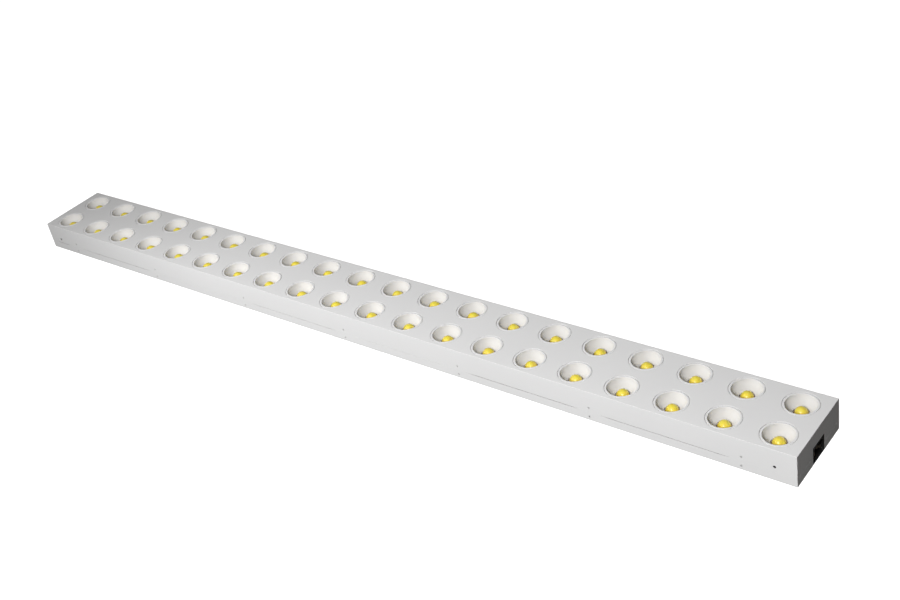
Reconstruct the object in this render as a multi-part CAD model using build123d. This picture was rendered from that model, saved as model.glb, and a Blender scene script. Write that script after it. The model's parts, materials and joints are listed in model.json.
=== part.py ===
from build123d import *
import os

# LED strip batten: a white sheet-steel housing with forty LEDs, each in its own round
# reflector, in two rows along the lit face.
#
# Frame: the origin is the centre of the back face, +X runs along the batten to the mains
# inlet, +Z points out of the lit face.  "Depth" is the distance below the lit face, and
# "side" is -1 for the -Y wall and +1 for the +Y wall.  All sizes are in millimetres.

# Housing
body_length = 1200.0
body_width = 100.0
body_height = 40.0
sheet = 1.2
bend_radius = 0.3
seam_depth = 28.0
seam_gap = 0.08
seam_z = body_height - seam_depth
wall_y = body_width / 2 - sheet
wall_x = body_length / 2 - sheet
plate_z = body_height - sheet

# The seam's rims touch at the rivets and stand apart between them.  One bay lies between
# each two fixings, and the first and last bays run from the end walls.
fixing_spacing = 180.0
fixing_count = 7
fixing_xs = [fixing_spacing * (i - (fixing_count - 1) / 2) for i in range(fixing_count)]
bay_openings = [0.45, 0.45, 0.1, 0.36, 0.15, 0.58, 0.55, 0.0]
bay_end_margin = 9.0
bay_taper = 16.0
end_wall_opening = 0.3

# Joint plates and blind rivets
plate_width = 14.0
plate_thickness = 1.5
plate_bottom_z = 2.0
plate_top_z = 21.5
rivet_depths = [22.7, 34.5]
rivet_hole_radius = 1.2
rivet_radius = 1.17
rivet_recess = 0.3
rivet_core_radius = 0.55
rivet_core_depth = 1.0
rivet_bulb_radius = 2.1
rivet_bulb_length = 1.8

# M3 mounting points
mount_x = 576.0
mount_depth = 22.0
mount_z = body_height - mount_depth
mount_hole_radius = 1.7
mount_nut_radius = 3.2
mount_nut_height = 3.0
mount_bore_radius = 1.25

# LED grid, in groups of eight on five boards
led_pitch = 60.0
row_y = 26.0
columns_per_board = 4
board_count = 5
board_pitch = led_pitch * columns_per_board

# Reflectors
cup_hole_radius = 19.45
cup_hole_edge = 0.2
rim_radius = 18.8
rim_depth = 0.1
rim_edge = 0.35
lip_radius = 16.6
lip_edge = 0.3
arc_middle = 1 - 2 ** 0.5 / 2
bowl_bottom_radius = 8.8
bowl_bottom_depth = 11.2
bowl_bulge = 1.9
cup_wall = 1.2
shoulder_radius = 21.2
shoulder_thickness = 1.3
shoulder_gap = 0.05

# LED boards, emitters and domes
board_depth = 13.0
board_top_z = body_height - board_depth
board_thickness = 1.6
board_length = 236.0
board_width = 86.0
emitter_radius = 8.0
emitter_thickness = 1.2
emitter_groove_radius = 7.55
emitter_groove_depth = 0.25
dome_radius = 7.2
dome_height = 6.9

# Heat spreader
spreader_thickness = 2.0
spreader_length = 1188.0
spreader_width = 88.0
spreader_lip = 8.0
spreader_top_z = board_top_z - board_thickness
spreader_bottom_z = spreader_top_z - spreader_thickness

# Screws and posts
post_offset_x = 60.0
post_radius = 3.0
post_bore_radius = 1.3
post_bore_depth = 9.0
post_clearance = 0.6
screw_radius = 1.25
screw_hole_radius = 1.6
screw_head_radius = 2.75
screw_head_height = 1.9
screw_recess_radius = 1.1
screw_recess_depth = 1.0
post_screw_reach = 6.0
board_screw_offsets = [(x, y) for x in (-112.0, 0.0, 112.0) for y in (-38.0, 38.0)]
tapped_hole_radius = screw_radius + 0.05
moulded_bevel = 0.8

# Bridging connectors between boards, and the output leads' way up to two of the boards
connector_length = 18.0
connector_width = 9.0
connector_height = 4.0
grommet_radius = 4.95
grommet_hole_radius = 5.0
grommet_bore_radius = 3.0
grommet_flange_radius = 6.4
grommet_flange_height = 1.0
feed_terminal_length = 12.0
feed_terminal_width = 12.0
feed_terminal_height = 9.0
feed_terminal_offset = 10.0

# LED drivers
driver_length = 220.0
driver_width = 42.0
driver_height = 18.5
driver_wall = 1.0
driver_ear = 12.0
driver_xs = [300.0, -180.0]
driver_seat_z = sheet + 0.5
driver_wire_z = 11.0
driver_slot_width = 14.0
driver_slot_height = 6.0
driver_pcb_thickness = 1.6
driver_pcb_lift = 3.0
driver_pcb_end_margin = 6.0
driver_pcb_side_margin = 2.5
driver_leg_radius = 2.0
driver_leg_inset_x = 6.0
driver_leg_inset_y = 4.0
core_length = 26.0
core_width = 20.0
core_lower_height = 3.0
coil_height = 6.0
coil_radius = 8.5
core_upper_height = 1.5
capacitor_radius = 4.9
capacitor_length = 26.0
capacitor_start = 40.0
capacitor_y = 9.0
capacitor_lift = 0.1
grommet_distance = driver_length / 2 + 40.0
sheet_margin = 3.0

# Studs and nuts
stud_radius = 1.5
stud_clearance = 0.03
stud_height = 7.0
nut_across_flats = 5.5
nut_height = 2.4
earth_x = 490.0
earth_y = -34.0

# Mains inlet (IEC 60320 C14, earth pin towards the lit face)
inlet_z = 11.0
inlet_width = 26.6
inlet_height = 21.4
inlet_notch_width = 27.2
inlet_notch_top_z = 22.0
inlet_socket_width = 24.0
inlet_socket_height = 16.4
inlet_socket_depth = 16.5
inlet_socket_corner = 4.5
inlet_body_depth = 22.0
inlet_flange_width = 50.0
inlet_flange_height = 18.6
inlet_flange_thickness = 3.0
inlet_stud_y = 20.0
pin_tip_depth = 1.5
pin_thickness = 2.0
pin_height = 4.0
pin_spacing = 14.0
pin_offset = 2.0
pin_bevel = 0.6
tab_length = 12.0
tab_thickness = 0.8
bracket_thickness = 1.5
bracket_width = 62.0
bracket_top_z = 23.0
bracket_window_clearance = 0.3

# Terminal block and wiring
terminal_x = 500.0
terminal_length = 20.0
terminal_width = 26.0
terminal_height = 14.0
terminal_slot_width = 6.4
terminal_slot_height = 3.4
terminal_screw_offset = 5.0
terminal_screw_radius = 2.1
terminal_screw_sink = 1.5
terminal_well_radius = 2.2
slot_width = 0.8
slot_depth = 0.8
pole_y = pin_spacing / 2
wire_z = inlet_z - pin_offset
wire_radius = 1.3
wire_bend = 8.0
wire_grip = 4.0
driver_entry = 28.0
driver_reach = 5.0
near_lead_run = 20.0
far_lead_run = 18.0
far_lead_slant = 40.0
far_lead_return = 38.0
earth_lead_run = 16.0
earth_lead_slant_x = 15.0
earth_lead_slant_y = 14.0
earth_lead_slant_z = 1.0
earth_lead_approach = 24.0
earth_lead_grip = 2.0
wire_pair_offset = 1.5
driver_wire_y = 2.5
output_wire_y = 1.4
output_wire_radius = 1.0
output_wire_bend = 5.0
wire_clearance = 0.05
feed_wire_z = board_top_z + 6.5
clip_xs = [380.0, 220.0, 60.0]
clip_y = 35.0
clip_wire_z = 5.0
clip_length = 8.0
clip_width = 9.0
clip_top_z = 8.0
ring_radius = 4.0
ring_hole_radius = 1.6
ring_thickness = 0.8
barrel_start = 5.0
barrel_length = 9.0
barrel_radius = 1.9


def block(low, high):
    """A rectangular block given by its lowest and highest corners."""
    size = [b - a for a, b in zip(low, high)]
    centre = [(a + b) / 2 for a, b in zip(low, high)]
    return Pos(*centre) * Box(*size)


def post(x, y, z_low, z_high, radius):
    """An upright cylinder."""
    return Pos(x, y, (z_low + z_high) / 2) * Cylinder(radius, z_high - z_low)


def rod_along_y(x, z, y_inner, y_outer, radius):
    """A level cylinder that runs across the batten."""
    turned = Rot(90, 0, 0) * Cylinder(radius, abs(y_outer - y_inner))
    return Pos(x, (y_inner + y_outer) / 2, z) * turned


def rod_along_x(y, z, x_low, x_high, radius):
    """A level cylinder that runs along the batten."""
    turned = Rot(0, 90, 0) * Cylinder(radius, x_high - x_low)
    return Pos((x_low + x_high) / 2, y, z) * turned


def nut_blank():
    """A hexagonal nut without its bore, standing on its own origin."""
    return extrude(RegularPolygon(nut_across_flats / 2, 6, major_radius=False), nut_height)


def soften_top(piece):
    """The piece with its top edges bevelled."""
    return chamfer(piece.faces().sort_by(Axis.Z)[-1].edges(), moulded_bevel)


def board_centre_x(board):
    return board_pitch * (board - (board_count - 1) / 2)


def led_places(board):
    """The eight LED positions on one board."""
    first = board_centre_x(board) - led_pitch * (columns_per_board - 1) / 2
    return [(first + led_pitch * i, y) for i in range(columns_per_board) for y in (-row_y, row_y)]


def post_places():
    return [(board_centre_x(b) + s * post_offset_x, 0.0) for b in range(board_count) for s in (-1, 1)]


def gap_xs():
    """The middles of the gaps between neighbouring boards."""
    return [board_centre_x(b) + board_pitch / 2 for b in range(board_count - 1)]


def grommet_xs():
    return [x - grommet_distance for x in driver_xs]


# Housing

def folded_tray(z_low, z_high, plate_on_top):
    """An open box of bent sheet, with its plate at the top or at the bottom."""
    corner = (body_length / 2, body_width / 2)
    outer = block((-corner[0], -corner[1], z_low), (corner[0], corner[1], z_high))
    plate_face = outer.faces().sort_by(Axis.Z)[-1 if plate_on_top else 0]
    bends = outer.edges().filter_by(Axis.Z) + plate_face.edges()
    outer = fillet(bends, bend_radius)
    floor = z_low - 1 if plate_on_top else z_low + sheet
    ceiling = z_high - sheet if plate_on_top else z_high + 1
    return outer - block((-wall_x, -wall_y, floor), (wall_x, wall_y, ceiling))


def inlet_notch():
    half = inlet_notch_width / 2
    return block((wall_x, -half, -1), (body_length / 2 + 1, half, inlet_notch_top_z))


def rivet_places():
    """Position, side and height of every rivet."""
    heights = [body_height - depth for depth in rivet_depths]
    return [(x, side, z) for x in fixing_xs for side in (-1, 1) for z in heights]


def side_wall_holes():
    """The rivet holes and mounting holes of both long walls."""
    reach = body_width / 2 + 1
    rivets = [rod_along_y(x, z, side * (wall_y - 1), side * reach, rivet_hole_radius)
              for x, side, z in rivet_places()]
    mounts = [rod_along_y(x, mount_z, side * (wall_y - 1), side * reach, mount_hole_radius)
              for x in (-mount_x, mount_x) for side in (-1, 1)]
    return rivets + mounts


def front_tray():
    tray = folded_tray(seam_z, body_height, True)
    cup_holes = [post(x, y, plate_z - 1, body_height + 1, cup_hole_radius)
                 for b in range(board_count) for x, y in led_places(b)]
    tray = tray - cup_holes - side_wall_holes() - inlet_notch()
    rims = tray.edges().filter_by(GeomType.CIRCLE).filter_by_position(
        Axis.Z, body_height - 0.01, body_height + 0.01)
    return fillet(rims, cup_hole_edge)


def bay_cutters():
    """Slim wedges that lower the rear tray's rims between the fixings."""
    rim_z = seam_z - seam_gap
    ends = [-wall_x] + fixing_xs + [wall_x]
    cutters = []
    for start, end, opening in zip(ends, ends[1:], bay_openings):
        if opening == 0:
            continue
        low = start if start == -wall_x else start + bay_end_margin
        high = end - bay_end_margin
        outline = Polyline((low, 0, rim_z + 1), (low, 0, rim_z), (low + bay_taper, 0, rim_z - opening),
                           (high - bay_taper, 0, rim_z - opening), (high, 0, rim_z),
                           (high, 0, rim_z + 1), close=True)
        cutters.append(extrude(make_face(outline), body_width, both=True))
    return cutters


def rear_tray():
    tray = folded_tray(0, seam_z - seam_gap, False)
    end_rims = [block((side * body_length / 2 - 2, -wall_y, seam_z - seam_gap - end_wall_opening),
                      (side * body_length / 2 + 2, wall_y, seam_z)) for side in (-1, 1)]
    return tray - side_wall_holes() - bay_cutters() - end_rims - inlet_notch()


def joint_plates():
    plates = []
    for x in fixing_xs:
        for side in (-1, 1):
            inner = side * (wall_y - plate_thickness)
            low = (x - plate_width / 2, min(inner, side * wall_y), plate_bottom_z)
            high = (x + plate_width / 2, max(inner, side * wall_y), plate_top_z)
            holes = [rod_along_y(x, body_height - depth, inner - side, side * body_width / 2,
                                 rivet_hole_radius) for depth in rivet_depths]
            plates.append(block(low, high) - holes)
    return plates


def joint_rivets():
    """Blind rivets, sunk a little below the outer face, with a bulb inside."""
    face_y = body_width / 2 - rivet_recess
    bulb_y = wall_y - plate_thickness
    rivets = []
    for x, side, z in rivet_places():
        shank = rod_along_y(x, z, side * bulb_y, side * face_y, rivet_radius)
        bulb = rod_along_y(x, z, side * (bulb_y - rivet_bulb_length), side * bulb_y, rivet_bulb_radius)
        core = rod_along_y(x, z, side * (face_y - rivet_core_depth), side * (face_y + 1),
                           rivet_core_radius)
        rivets.append(shank + bulb - core)
    return rivets


def mounting_nuts():
    nuts = []
    for x in (-mount_x, mount_x):
        for side in (-1, 1):
            inner = wall_y - mount_nut_height
            body = rod_along_y(x, mount_z, side * inner, side * wall_y, mount_nut_radius)
            bore = rod_along_y(x, mount_z, side * (inner - 1), side * (wall_y + 1), mount_bore_radius)
            nuts.append(body - bore)
    return nuts


# LEDs and reflectors

def at_leds(board, piece):
    """One copy of a piece at each LED of a board."""
    return [Pos(x, y, 0) * piece for x, y in led_places(board)]


def reflector():
    """A moulded bowl: its rim lies just below the lit face and its foot stands on the board."""
    rim_z = body_height - rim_depth
    lip_z = rim_z - lip_edge
    bowl_z = body_height - bowl_bottom_depth
    shoulder_z = plate_z - shoulder_gap
    run = Vector(bowl_bottom_radius - lip_radius, bowl_z - lip_z)
    bulge = Vector(-run.Y, run.X).normalized() * bowl_bulge
    middle = Vector((lip_radius + bowl_bottom_radius) / 2, (lip_z + bowl_z) / 2) + bulge
    back = [(rim_radius, rim_z), (rim_radius, shoulder_z), (shoulder_radius, shoulder_z),
            (shoulder_radius, shoulder_z - shoulder_thickness),
            (lip_radius + 1.5 * cup_wall, shoulder_z - shoulder_thickness),
            (middle.X + cup_wall, middle.Y - cup_wall),
            (bowl_bottom_radius + cup_wall, bowl_z - cup_wall / 2),
            (bowl_bottom_radius + cup_wall, board_top_z), (bowl_bottom_radius, board_top_z),
            (bowl_bottom_radius, bowl_z)]
    outline = [Polyline(*[(r, 0, z) for r, z in back]),
               ThreePointArc((bowl_bottom_radius, 0, bowl_z), (middle.X, 0, middle.Y),
                             (lip_radius, 0, lip_z)),
               ThreePointArc((lip_radius, 0, lip_z),
                             (lip_radius + arc_middle * lip_edge, 0, rim_z - arc_middle * lip_edge),
                             (lip_radius + lip_edge, 0, rim_z)),
               Line((lip_radius + lip_edge, 0, rim_z), (rim_radius, 0, rim_z))]
    cup = revolve(make_face(outline), Axis.Z)
    outer_rim = cup.edges().filter_by(GeomType.CIRCLE).sort_by(Axis.Z)[-2:].sort_by(SortBy.RADIUS)[-1]
    return fillet(outer_rim, rim_edge)


def emitter():
    """A round LED carrier with a shallow groove around the dome's seat."""
    top = board_top_z + emitter_thickness
    groove = post(0, 0, top - emitter_groove_depth, top + 1, emitter_groove_radius)
    seat = post(0, 0, top - emitter_groove_depth, top + 1, dome_radius)
    return post(0, 0, board_top_z, top, emitter_radius) - (groove - seat)


def dome():
    """A round cap, a little lower than a half ball."""
    seat_z = board_top_z + emitter_thickness
    ball_radius = (dome_radius ** 2 + dome_height ** 2) / (2 * dome_height)
    ball = Pos(0, 0, seat_z + dome_height - ball_radius) * Sphere(ball_radius)
    return ball & post(0, 0, seat_z, body_height, ball_radius)


def led_board(board):
    x = board_centre_x(board)
    plate = block((x - board_length / 2, -board_width / 2, spreader_top_z),
                  (x + board_length / 2, board_width / 2, board_top_z))
    post_holes = [post(x + s * post_offset_x, 0, 0, body_height, post_radius + post_clearance)
                  for s in (-1, 1)]
    screw_holes = [post(x + dx, dy, 0, body_height, screw_hole_radius) for dx, dy in board_screw_offsets]
    wire_holes = [post(gx, 0, 0, body_height, grommet_hole_radius) for gx in grommet_xs()
                  if abs(gx - x) < board_length / 2]
    return plate - post_holes - screw_holes - wire_holes


def heat_spreader():
    """A flat aluminium sheet under the boards, with its long edges folded down."""
    half_length = spreader_length / 2
    half_width = spreader_width / 2
    inner = half_width - spreader_thickness
    sheet_body = block((-half_length, -half_width, spreader_bottom_z - spreader_lip),
                       (half_length, half_width, spreader_top_z))
    sheet_body -= block((-half_length - 1, -inner, 0), (half_length + 1, inner, spreader_bottom_z))
    post_holes = [post(x, y, 0, body_height, screw_hole_radius) for x, y in post_places()]
    tapped = [post(board_centre_x(b) + dx, dy, 0, body_height, tapped_hole_radius)
              for b in range(board_count) for dx, dy in board_screw_offsets]
    wire_holes = [post(x, 0, 0, body_height, grommet_hole_radius) for x in grommet_xs()]
    return sheet_body - post_holes - tapped - wire_holes


def screw(x, y, face_z, reach, direction):
    """A pan-head screw seated on a face: direction is +1 when the head is above it."""
    head_end = face_z + direction * screw_head_height
    tip = face_z - direction * reach
    head = post(x, y, min(face_z, head_end), max(face_z, head_end), screw_head_radius)
    shank = post(x, y, min(face_z, tip), max(face_z, tip), screw_radius)
    recess_end = head_end - direction * screw_recess_depth
    recess = post(x, y, min(head_end, recess_end), max(head_end, recess_end), screw_recess_radius)
    return head + shank - recess


def board_screws():
    reach = board_thickness + spreader_thickness
    return [screw(board_centre_x(b) + dx, dy, board_top_z, reach, 1)
            for b in range(board_count) for dx, dy in board_screw_offsets]


def support_posts():
    posts = []
    for x, y in post_places():
        bore = post(x, y, spreader_top_z - 1, spreader_top_z + post_bore_depth, post_bore_radius)
        posts.append(post(x, y, spreader_top_z, plate_z, post_radius) - bore)
    return posts


def post_screws():
    reach = spreader_thickness + post_screw_reach
    return [screw(x, y, spreader_bottom_z, reach, -1) for x, y in post_places()]


def board_connectors():
    bridges = []
    for x in gap_xs():
        bridge = block((x - connector_length / 2, -connector_width / 2, board_top_z),
                       (x + connector_length / 2, connector_width / 2, board_top_z + connector_height))
        bridges.append(soften_top(bridge))
    return bridges


# Output leads' way up to the boards

def wire_grommets():
    grommets = []
    for x in grommet_xs():
        low = spreader_bottom_z - grommet_flange_height
        high = board_top_z + grommet_flange_height
        ring = post(x, 0, low, high, grommet_radius)
        ring += post(x, 0, low, spreader_bottom_z, grommet_flange_radius)
        ring += post(x, 0, board_top_z, high, grommet_flange_radius)
        grommets.append(ring - post(x, 0, low - 1, high + 1, grommet_bore_radius))
    return grommets


def feed_terminals():
    terminals = []
    for x in grommet_xs():
        low_x = x + feed_terminal_offset
        body = block((low_x, -feed_terminal_width / 2, board_top_z),
                     (low_x + feed_terminal_length, feed_terminal_width / 2,
                      board_top_z + feed_terminal_height))
        terminals.append(soften_top(body))
    return terminals


# LED drivers

def driver_base(x):
    """A channel with a fixing ear at each end."""
    half = driver_length / 2
    side = driver_width / 2
    top = driver_seat_z + driver_height - driver_wall
    channel = block((x - half, -side, driver_seat_z), (x + half, side, top))
    channel -= block((x - half - 1, -side + driver_wall, driver_seat_z + driver_wall),
                     (x + half + 1, side - driver_wall, top + 1))
    ears = block((x - half - driver_ear, -side, driver_seat_z),
                 (x + half + driver_ear, side, driver_seat_z + driver_wall))
    holes = [post(sx, 0, 0, top, screw_hole_radius) for sx in driver_stud_xs(x)]
    return channel + ears - holes


def driver_cover(x):
    """A lid with an end wall at each end, and a slot for the leads in each end wall."""
    half = driver_length / 2
    side = driver_width / 2
    inner = side - driver_wall
    top = driver_seat_z + driver_height
    lid = block((x - half, -side, top - driver_wall), (x + half, side, top))
    for end in (-1, 1):
        outer_x = x + end * half
        inner_x = x + end * (half - driver_wall)
        lid += block((min(outer_x, inner_x), -inner, driver_seat_z + driver_wall),
                     (max(outer_x, inner_x), inner, top - driver_wall))
    slot_low = driver_wire_z - driver_slot_height / 2
    slot_high = driver_wire_z + driver_slot_height / 2
    return lid - block((x - half - 1, -driver_slot_width / 2, slot_low),
                       (x + half + 1, driver_slot_width / 2, slot_high))


def driver_board_box():
    """Half length, half width, lowest and highest height of a driver's circuit board."""
    low = driver_seat_z + driver_wall + driver_pcb_lift
    return (driver_length / 2 - driver_pcb_end_margin, driver_width / 2 - driver_pcb_side_margin,
            low, low + driver_pcb_thickness)


def driver_board(x):
    """The circuit board, standing on four short legs."""
    half, side, low, high = driver_board_box()
    leg_x = half - driver_leg_inset_x
    leg_y = side - driver_leg_inset_y
    legs = [post(x + sx * leg_x, sy * leg_y, driver_seat_z + driver_wall, low, driver_leg_radius)
            for sx in (-1, 1) for sy in (-1, 1)]
    return block((x - half, -side, low), (x + half, side, high)) + legs


def driver_transformer(x):
    """A coil on a bobbin between two slim core halves."""
    seat = driver_board_box()[3]
    coil_low = seat + core_lower_height
    coil_high = coil_low + coil_height
    low_x = x - core_length / 2
    high_x = x + core_length / 2
    core = block((low_x, -core_width / 2, seat), (high_x, core_width / 2, coil_low))
    core += block((low_x, -core_width / 2, coil_high),
                  (high_x, core_width / 2, coil_high + core_upper_height))
    return core + post(x, 0, coil_low, coil_high, coil_radius)


def driver_capacitors(x):
    """Two electrolytic capacitors lying on the board."""
    z = driver_board_box()[3] + capacitor_radius + capacitor_lift
    start = x + capacitor_start
    return [rod_along_x(y, z, start, start + capacitor_length, capacitor_radius)
            for y in (-capacitor_y, capacitor_y)]


def driver_stud_xs(x):
    reach = driver_length / 2 + driver_ear / 2
    return [x - reach, x + reach]


def insulation_sheets():
    sheets = []
    for x in driver_xs:
        half = driver_length / 2 + driver_ear + sheet_margin
        side = driver_width / 2 + sheet_margin
        body = block((x - half, -side, sheet), (x + half, side, driver_seat_z))
        holes = [post(sx, 0, 0, body_height, screw_hole_radius) for sx in driver_stud_xs(x)]
        sheets.append(body - holes)
    return sheets


def tray_studs():
    """Welded studs for the drivers' ears, and one for the earth lead."""
    places = [(sx, 0) for x in driver_xs for sx in driver_stud_xs(x)] + [(earth_x, earth_y)]
    return [post(x, y, sheet, sheet + stud_height, stud_radius - stud_clearance) for x, y in places]


def nut(x, y, z_low):
    return Pos(x, y, z_low) * nut_blank() - post(x, y, z_low - 1, z_low + nut_height + 1, stud_radius)


def driver_nuts():
    seat = driver_seat_z + driver_wall
    return [nut(sx, 0, seat) for x in driver_xs for sx in driver_stud_xs(x)]


# Mains inlet

def inlet_socket():
    """The space that the connector fills, with its two upper corners cut off."""
    half = inlet_socket_width / 2
    low = inlet_z - inlet_socket_height / 2
    high = inlet_z + inlet_socket_height / 2
    cut = inlet_socket_corner
    outline = Polyline((0, -half, low), (0, half, low), (0, half, high - cut), (0, half - cut, high),
                       (0, cut - half, high), (0, -half, high - cut), close=True)
    return extrude(make_face(outline), inlet_socket_depth + 1, dir=(-1, 0, 0))


def pin_places():
    """Width position and height of the three pins, the earth pin last."""
    low = inlet_z - pin_offset
    return [(-pin_spacing / 2, low), (pin_spacing / 2, low), (0, inlet_z + pin_offset)]


def inlet_body():
    face_x = body_length / 2
    back_x = face_x - inlet_body_depth
    half = inlet_width / 2
    flange_front = wall_x - bracket_thickness
    flange_half_height = inlet_flange_height / 2
    body = block((back_x, -half, inlet_z - flange_half_height),
                 (wall_x, half, inlet_z + flange_half_height))
    body += block((wall_x, -half, inlet_z - inlet_height / 2),
                  (face_x, half, inlet_z + inlet_height / 2))
    body += block((flange_front - inlet_flange_thickness, -inlet_flange_width / 2,
                   inlet_z - flange_half_height),
                  (flange_front, inlet_flange_width / 2, inlet_z + flange_half_height))
    body -= Pos(face_x + 1, 0, 0) * inlet_socket()
    stud_holes = [rod_along_x(y, inlet_z, back_x, wall_x, screw_hole_radius)
                  for y in (-inlet_stud_y, inlet_stud_y)]
    slots = [block((back_x - 1, y - pin_thickness / 2, z - pin_height / 2),
                   (face_x, y + pin_thickness / 2, z + pin_height / 2)) for y, z in pin_places()]
    return body - stud_holes - slots


def inlet_pins():
    """Flat blades that end in thin tabs behind the inlet."""
    tip_x = body_length / 2 - pin_tip_depth
    back_x = body_length / 2 - inlet_body_depth
    pins = []
    for y, z in pin_places():
        blade = block((back_x, y - pin_thickness / 2, z - pin_height / 2),
                      (tip_x, y + pin_thickness / 2, z + pin_height / 2))
        tip_edges = blade.faces().sort_by(Axis.X)[-1].edges()
        blade = chamfer(tip_edges, pin_bevel)
        tab = block((back_x - tab_length, y - tab_thickness / 2, z - pin_height / 2),
                    (back_x, y + tab_thickness / 2, z + pin_height / 2))
        pins.append(blade + tab)
    return pins


def inlet_bracket():
    """A plate behind the end wall that bridges the seam and carries the inlet."""
    front = wall_x
    back = wall_x - bracket_thickness
    half = bracket_width / 2
    plate = block((back, -half, plate_bottom_z), (front, half, bracket_top_z))
    window_half = inlet_width / 2 + bracket_window_clearance
    window_top = inlet_z + inlet_flange_height / 2 + bracket_window_clearance
    return plate - block((back - 1, -window_half, 0),
                         (front + 1, window_half, window_top))


def inlet_studs():
    front = wall_x - bracket_thickness
    return [rod_along_x(y, inlet_z, front - stud_height, front, stud_radius - stud_clearance)
            for y in (-inlet_stud_y, inlet_stud_y)]


def inlet_nuts():
    seat_x = wall_x - bracket_thickness - inlet_flange_thickness
    nuts = []
    for y in (-inlet_stud_y, inlet_stud_y):
        body = Pos(seat_x, y, inlet_z) * Rot(0, -90, 0) * nut_blank()
        bore = rod_along_x(y, inlet_z, seat_x - nut_height - 1, seat_x + 1, stud_radius)
        nuts.append(body - bore)
    return nuts


# Terminal block and wiring

def terminal_block():
    """A two-pole block: one slot through it for each pole, and a screw well at each end."""
    low_x = terminal_x - terminal_length / 2
    high_x = terminal_x + terminal_length / 2
    side = terminal_width / 2
    top = sheet + terminal_height
    body = block((low_x, -side, sheet), (high_x, side, top))
    for pole in (-1, 1):
        y = pole * pole_y
        body -= block((low_x - 1, y - terminal_slot_width / 2, wire_z - terminal_slot_height / 2),
                      (high_x + 1, y + terminal_slot_width / 2, wire_z + terminal_slot_height / 2))
        body -= [post(x, y, wire_z, top + 1, terminal_well_radius) for x in terminal_screw_xs()]
    return body


def terminal_screw_xs():
    return [terminal_x - terminal_screw_offset, terminal_x + terminal_screw_offset]


def terminal_screws():
    """Slotted screws that clamp the leads, sunk in their wells."""
    low = wire_z + terminal_slot_height / 2
    top = sheet + terminal_height - terminal_screw_sink
    screws = []
    for x in terminal_screw_xs():
        for y in (-pole_y, pole_y):
            slot = block((x - terminal_well_radius, y - slot_width / 2, top - slot_depth),
                         (x + terminal_well_radius, y + slot_width / 2, top + 1))
            screws.append(post(x, y, low, top, terminal_screw_radius) - slot)
    return screws


def wire(points, radius, bend):
    """An insulated lead along straight runs joined by round bends."""
    path = FilletPolyline(*points, radius=bend)
    return sweep(Plane(path @ 0, z_dir=path % 0) * Circle(radius), path=path)


def mains_leads(pole):
    """One pole's leads: from the inlet to the terminal block, and on to each driver.

    The lead to the far driver runs along the pole's own side of the housing.
    """
    tab_x = body_length / 2 - inlet_body_depth - tab_length
    block_in_x = terminal_x + terminal_length / 2 - wire_grip
    block_out_x = terminal_x - terminal_length / 2 + wire_grip
    near_x, far_x = [x + driver_length / 2 for x in driver_xs]
    y_near = pole * (pole_y - wire_pair_offset)
    y_far = pole * (pole_y + wire_pair_offset)
    y_driver = pole * driver_wire_y
    y_side = pole * clip_y
    inlet_lead = rod_along_x(pole * pole_y, wire_z, block_in_x, tab_x, wire_radius)
    near_lead = wire([(block_out_x, y_near, wire_z), (block_out_x - near_lead_run, y_near, wire_z),
                      (near_x + driver_entry, y_driver, driver_wire_z),
                      (near_x - driver_reach, y_driver, driver_wire_z)], wire_radius, wire_bend)
    slant_x = block_out_x - far_lead_run
    return_x = far_x + driver_entry
    far_lead = wire([(block_out_x, y_far, wire_z), (slant_x, y_far, wire_z),
                     (slant_x - far_lead_slant, y_side, clip_wire_z),
                     (return_x + far_lead_return, y_side, clip_wire_z),
                     (return_x, y_driver, driver_wire_z),
                     (far_x - driver_reach, y_driver, driver_wire_z)], wire_radius, wire_bend)
    return [inlet_lead, near_lead, far_lead]


def earth_lead():
    """From the earth pin's tab, over the live lead, down to the ring terminal."""
    tab_x = body_length / 2 - inlet_body_depth - tab_length
    tab_z = inlet_z + pin_offset
    slant_x = tab_x - earth_lead_run
    barrel_z = sheet + barrel_radius
    barrel_x = earth_x + barrel_start
    return wire([(tab_x, 0, tab_z), (slant_x, 0, tab_z),
                 (slant_x - earth_lead_slant_x, -earth_lead_slant_y, tab_z - earth_lead_slant_z),
                 (barrel_x + earth_lead_approach, earth_y, barrel_z),
                 (barrel_x + earth_lead_grip, earth_y, barrel_z)], wire_radius, wire_bend)


def ring_terminal():
    """A crimped ring under the earth nut, with its barrel towards the inlet."""
    tongue_top = sheet + ring_thickness
    ring = post(earth_x, earth_y, sheet, tongue_top, ring_radius)
    ring += block((earth_x, earth_y - barrel_radius, sheet),
                  (earth_x + barrel_start, earth_y + barrel_radius, tongue_top))
    barrel_low = earth_x + barrel_start
    barrel_z = sheet + barrel_radius
    ring += rod_along_x(earth_y, barrel_z, barrel_low, barrel_low + barrel_length, barrel_radius)
    bore = rod_along_x(earth_y, barrel_z, barrel_low + 1, barrel_low + barrel_length + 1,
                       wire_radius + wire_clearance)
    return ring - bore - post(earth_x, earth_y, 0, sheet + stud_height, ring_hole_radius)


def output_leads():
    """Two leads from each driver, up through the grommet to the feed terminal."""
    leads = []
    for driver_x, x in zip(driver_xs, grommet_xs()):
        start_x = driver_x - driver_length / 2 + driver_reach
        for y in (-output_wire_y, output_wire_y):
            leads.append(wire([(start_x, y, driver_wire_z), (x, y, driver_wire_z), (x, y, feed_wire_z),
                               (x + feed_terminal_offset, y, feed_wire_z)],
                              output_wire_radius, output_wire_bend))
    return leads


def cable_clips():
    """Saddles that hold the two long leads down on the rear tray."""
    clips = []
    for x in clip_xs:
        for y in (-clip_y, clip_y):
            low = (x - clip_length / 2, y - clip_width / 2, sheet)
            high = (x + clip_length / 2, y + clip_width / 2, clip_top_z)
            tunnel = rod_along_x(y, clip_wire_z, x - clip_length, x + clip_length,
                                 wire_radius + wire_clearance)
            clips.append(soften_top(block(low, high)) - tunnel)
    return clips


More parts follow.
